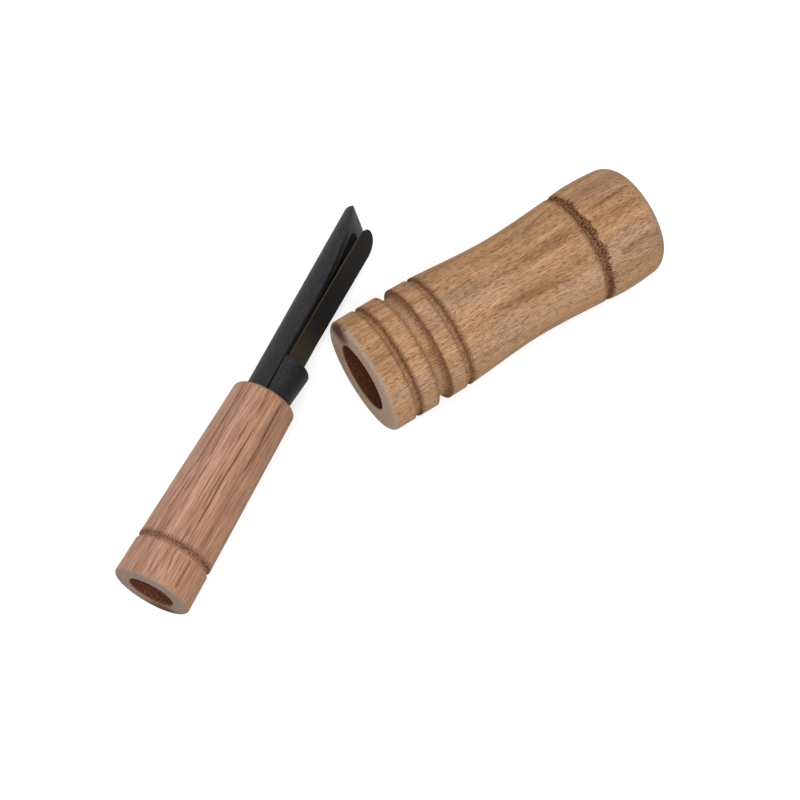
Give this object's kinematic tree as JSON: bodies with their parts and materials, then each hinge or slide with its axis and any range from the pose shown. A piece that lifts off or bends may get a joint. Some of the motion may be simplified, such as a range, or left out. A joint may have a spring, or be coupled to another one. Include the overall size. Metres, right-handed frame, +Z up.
{
  "type": "bird call",
  "caption": "Turned wooden reed call taken apart: a waisted barrel with turned grooves, and a tapered insert that holds a black tone board, reed and wedge.",
  "frame": {"origin": "middle of the barrel's bore, on its axis", "axes": "+X along the barrel from its open end to the mouthpiece, +Z up from the table that both pieces lie on"},
  "size_m": [0.1697, 0.0763, 0.0328],
  "materials": {
    "barrel_wood": "fine sanded, satin oil",
    "insert_wood": "fine sanded, satin oil",
    "black_plastic": "satin moulded",
    "reed_film": "smooth film"
  },
  "bodies": {
    "barrel": {"barrel": "barrel_wood"},
    "insert": {"insert": "insert_wood"},
    "tone_board": {"tone_board": "black_plastic", "reed_heel": "reed_film"},
    "wedge": {"wedge": "black_plastic"},
    "reed": {"reed_blade": "reed_film"}
  },
  "joints": [
    {"name": "insert_twist", "type": "hinge", "parent": "barrel", "child": "insert", "pos_m": [-0.12029, -0.01859, -0.0057], "axis": [0.867, 0.4975, -0.0287], "continuous": true},
    {"name": "tone_board_pull", "type": "slide", "parent": "insert", "child": "tone_board", "axis": [0.867, 0.4975, -0.0287], "range_m": [0, 0.021]},
    {"name": "wedge_pull", "type": "slide", "parent": "tone_board", "child": "wedge", "axis": [0.867, 0.4975, -0.0287], "range_m": [0, 0.021]},
    {"name": "reed_flex", "type": "hinge", "parent": "tone_board", "child": "reed", "pos_m": [-0.03781, 0.02629, -0.00783], "axis": [-0.1048, 0.2383, 0.9655], "range_deg": [-1.5, 8.9], "stiffness_Nm_per_rad": 0.006}
  ]
}
